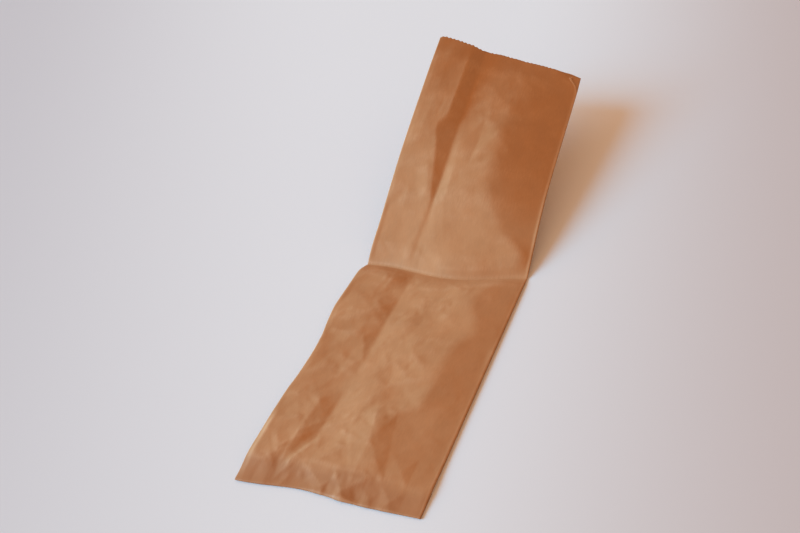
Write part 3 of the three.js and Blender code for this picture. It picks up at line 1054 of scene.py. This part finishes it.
# %% Lamps
LAMP_DISTANCE = 4.0
BAG_KEY_ANGLES = (15, 15)  # elevation and azimuth in degrees
BAG_KEY_POWER = 372.0
BAG_KEY_COLOUR = (0.26, 0.66, 1.0)
BAG_KEY_SIZE = 1.1
TABLE_KEY_ANGLES = (32, 40)
TABLE_KEY_POWER = 3.4
TABLE_KEY_COLOUR = (0.12, 0.6, 1.0)
TABLE_KEY_SPREAD = math.radians(34)


def key_lamp(name, kind, receiver, angles, power, colour):
    """A lamp on the left that shines on one thing only."""
    lamp_data = bpy.data.lights.new(name, kind)
    lamp_data.energy = power
    lamp_data.color = colour
    lamp = bpy.data.objects.new(name, lamp_data)
    scene.collection.objects.link(lamp)
    high, aside = np.radians(angles)
    toward = Vector((-math.cos(high) * math.cos(aside), -math.cos(high) * math.sin(aside), math.sin(high)))
    lamp.location = toward * LAMP_DISTANCE
    lamp.rotation_euler = toward.to_track_quat("Z", "Y").to_euler()
    lit = bpy.data.collections.new(name + "_lights")
    lit.objects.link(receiver)
    lamp.light_linking.receiver_collection = lit
    print(name, "at", list(lamp.location), "shines on", receiver.name)
    return lamp_data


bag_key = key_lamp("bag_key", "AREA", bag, BAG_KEY_ANGLES, BAG_KEY_POWER, BAG_KEY_COLOUR)
bag_key.size = BAG_KEY_SIZE
table_key = key_lamp("table_key", "SUN", floor, TABLE_KEY_ANGLES, TABLE_KEY_POWER, TABLE_KEY_COLOUR)
table_key.angle = TABLE_KEY_SPREAD

# %% [markdown]
# ## Wear and painted highlights
# Kraft paper turns pale where it has been rubbed or bent: at the side folds, along the lip of the
# crease, at the cut mouth and on the small ridges of the front. The right side fold and the lip of the
# crease, most of all at its left end, are also painted paler as a painted highlight where they catch the
# light. One could paint this by hand as vertex colours. It follows from the shape, though, so it is
# worked out from the same distances. A ridge is a point that stands higher than the mean of the points
# around it.

# %% Wear and painted highlights
LEFT_FOLD_WEAR = 0.1
# the right side fold is partly real wear and partly a painted highlight along its edge
RIGHT_FOLD_WEAR_AND_HIGHLIGHT = 0.5
FOLD_WEAR_WIDTH = 0.8
# the lip of the crease is partly real wear and partly a painted highlight, more of it at the left
CREASE_WEAR_AND_HIGHLIGHT = 0.5
CREASE_LIP = 1.0  # distance of the worn lip above the crease
CREASE_LIP_WIDTH = 1.3
LEFT_LIP_HIGHLIGHT = 0.8
LEFT_LIP_HIGHLIGHT_FADE = (8.0, 22.0)
MOUTH_WEAR = 0.4
MOUTH_WEAR_REACH = 1.5
RIDGE_WEAR = 0.5
RIDGE_WEAR_HEIGHT = 0.12
RIDGE_STEP = 2
CREASE_CLEARANCE = 6.0


def mean_around(heights):
    rows, columns = heights.shape
    padded = np.pad(heights, RIDGE_STEP, mode="edge")
    starts = (0, RIDGE_STEP, 2 * RIDGE_STEP)
    parts = [padded[row:row + rows, column:column + columns] for row in starts for column in starts]
    return sum(parts) / len(parts)


past = past_crease(across, along)
# real wear at the side folds, with a painted highlight added on the right one
fold_wear_and_highlight = np.where(place_across > 0, RIGHT_FOLD_WEAR_AND_HIGHLIGHT, LEFT_FOLD_WEAR)
folds_wear_and_highlight = fold_wear_and_highlight * hump(HALF - np.abs(place_across), FOLD_WEAR_WIDTH) * (along > 0)
# painted highlight: the lip over the crease is painted paler, most of all at its left end
left_lip_highlight = 1 + LEFT_LIP_HIGHLIGHT * (1 - between(across + HALF, LEFT_LIP_HIGHLIGHT_FADE))
on_crease = CREASE_WEAR_AND_HIGHLIGHT * left_lip_highlight * hump(past - CREASE_LIP, CREASE_LIP_WIDTH)
on_mouth = MOUTH_WEAR * near_mouth(along, MOUTH_WEAR_REACH)
clear = (layer == FRONT) & (np.abs(past) > CREASE_CLEARANCE)
on_ridges = RIDGE_WEAR * clear * np.clip((up - mean_around(up)) / RIDGE_WEAR_HEIGHT, 0, 1)
wear_and_highlight = np.clip(folds_wear_and_highlight + on_crease + on_mouth + on_ridges, 0, 1)
print("mean wear:", wear_and_highlight.mean(), "most:", wear_and_highlight.max())

# %% [markdown]
# ## The painted shade along the bottom and the places on the sheet
# The paper is painted darker along the bottom, with a wavy edge: a painted shade over the bottom of the
# front. The fibres need to know where each point lies on the flat sheet, because real fibres follow the
# sheet round its folds. A UV map could hold that. Named attributes on the points are simpler, and the
# wear, the painted highlights and the painted shade can be kept in the same way.

# %% Attributes of the paper
# painted shade: the strip along the bottom where the paper is painted darker
BOTTOM_SHADE_EDGE = 18.0
BOTTOM_SHADE_WAVE = 2.5
BOTTOM_SHADE_WAVE_LENGTH = 8.0
BOTTOM_SHADE_FADE = 9.0
FOLD_LENGTH = 0.2  # paper between two points that lie over each other in a fold

bottom_shade_edge = BOTTOM_SHADE_EDGE + BOTTOM_SHADE_WAVE * np.sin((across + HALF) / BOTTOM_SHADE_WAVE_LENGTH)
bottom_shade = ease((bottom_shade_edge - np.abs(along)) / BOTTOM_SHADE_FADE)
round_tube = np.concatenate([[0], np.cumsum(np.hypot(np.diff(place_across), FOLD_LENGTH))])
sheet = np.stack([np.broadcast_to(round_tube, along.shape), along, np.zeros_like(along)], -1)


def keep_on_points(name, kind, field, values):
    """The outer and the inner face get the same values."""
    attribute = bag_mesh.attributes.new(name, kind, "POINT")
    attribute.data.foreach_set(field, np.concatenate([values, values]).astype(np.float32).ravel())


keep_on_points("sheet", "FLOAT_VECTOR", "vector", sheet)
keep_on_points("wear_and_highlight", "FLOAT", "value", wear_and_highlight)
keep_on_points("bottom_shade", "FLOAT", "value", bottom_shade)
print("attributes:", [attribute.name for attribute in bag_mesh.attributes])

# %% [markdown]
# ## Fibres and mottle
# Fine fibres run along kraft paper, and a faint cloudy mottle lies over them. A scanned picture would
# show its seams round the folds, so both come from noise textures on the places of the flat sheet.
# Fibres are fine noise that is stretched along the bag, and the mottle is the same noise, many times
# larger.

# %% Fibres and mottle
FIBRE_SCALE = (1.1, 0.22, 1.0)
FIBRE_DETAIL = 3.0
MOTTLE_SCALE = (0.07, 0.05, 1.0)
MOTTLE_DETAIL = 4.0

kraft = bpy.data.materials.new("kraft_paper")
kraft.use_nodes = True
paper = kraft.node_tree


def kept(name, output):
    return add(paper, "Attribute", {}, attribute_name=name).outputs[output]


def sheet_noise(scale, detail):
    moved = add(paper, "VectorMath", {0: kept("sheet", "Vector"), 1: scale}, operation="MULTIPLY")
    noise = {"Vector": moved.outputs["Vector"], "Scale": 1.0, "Detail": detail}
    return add(paper, "TexNoise", noise).outputs["Fac"]


fibre = sheet_noise(FIBRE_SCALE, FIBRE_DETAIL)
mottle = sheet_noise(MOTTLE_SCALE, MOTTLE_DETAIL)
print("nodes of the fibres and the mottle:", len(paper.nodes))

# %% [markdown]
# ## Kraft paper
# Kraft is unbleached and uncoated: warm brown and matt. The paper is painted darker along the bottom as
# a painted shade, and paler at the worn places and the painted highlights, broken up by the fibres.
# Fibres and mottle tint the colour by a few hundredths, and the fibres give the surface a very slight
# grain. All creases are real shapes already, so the bump has nothing else to do.

# %% Kraft paper
KRAFT = (0.515, 0.235, 0.098)
# pale colour of the wear and of the painted highlights
PALE_WEAR_AND_HIGHLIGHT = (0.60, 0.31, 0.155)
# colour of the painted shade along the bottom
SHADED_BOTTOM = (0.42, 0.17, 0.065)
NOISE_RANGE = (0.3, 0.7)
BOTTOM_SHADE_STRENGTH = 0.85
WEAR_IN_FIBRES = (0.4, 1.0)
FIBRE_TINT = (0.97, 1.03)
MOTTLE_TINT = (0.95, 1.05)
PAPER_ROUGHNESS = (0.58, 0.72)
PAPER_SHINE = 0.3
GRAIN_STRENGTH = 0.15
GRAIN_DEPTH = 0.00005

# painted shade along the bottom first, then the pale wear and painted highlights
brown = mixed(paper, times(paper, kept("bottom_shade", "Fac"), BOTTOM_SHADE_STRENGTH), (*KRAFT, 1), (*SHADED_BOTTOM, 1))
# pale wear and painted highlights, broken up by the fibres
wear_and_highlight_share = times(paper, kept("wear_and_highlight", "Fac"), ranged(paper, fibre, NOISE_RANGE, WEAR_IN_FIBRES))
brown = mixed(paper, wear_and_highlight_share, brown, (*PALE_WEAR_AND_HIGHLIGHT, 1))
fibre_tint = ranged(paper, fibre, NOISE_RANGE, FIBRE_TINT)
mottle_tint = ranged(paper, mottle, NOISE_RANGE, MOTTLE_TINT)
tint = times(paper, fibre_tint, mottle_tint)
tinted = add(paper, "VectorMath", {0: brown, "Scale": tint}, operation="SCALE")
grain = add(paper, "Bump", {"Height": fibre, "Strength": GRAIN_STRENGTH, "Distance": GRAIN_DEPTH})

finish = paper.nodes["Principled BSDF"]
wire(finish.inputs["Base Color"], tinted.outputs["Vector"])
wire(finish.inputs["Roughness"], ranged(paper, mottle, NOISE_RANGE, PAPER_ROUGHNESS))
wire(finish.inputs["Specular IOR Level"], PAPER_SHINE)
wire(finish.inputs["Normal"], grain.outputs["Normal"])
bag_mesh.materials.append(kraft)
print("nodes of the paper:", len(paper.nodes))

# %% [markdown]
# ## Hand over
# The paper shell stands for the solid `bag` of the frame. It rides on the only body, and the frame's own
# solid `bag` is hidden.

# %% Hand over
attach(bag, "root")
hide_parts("bag")
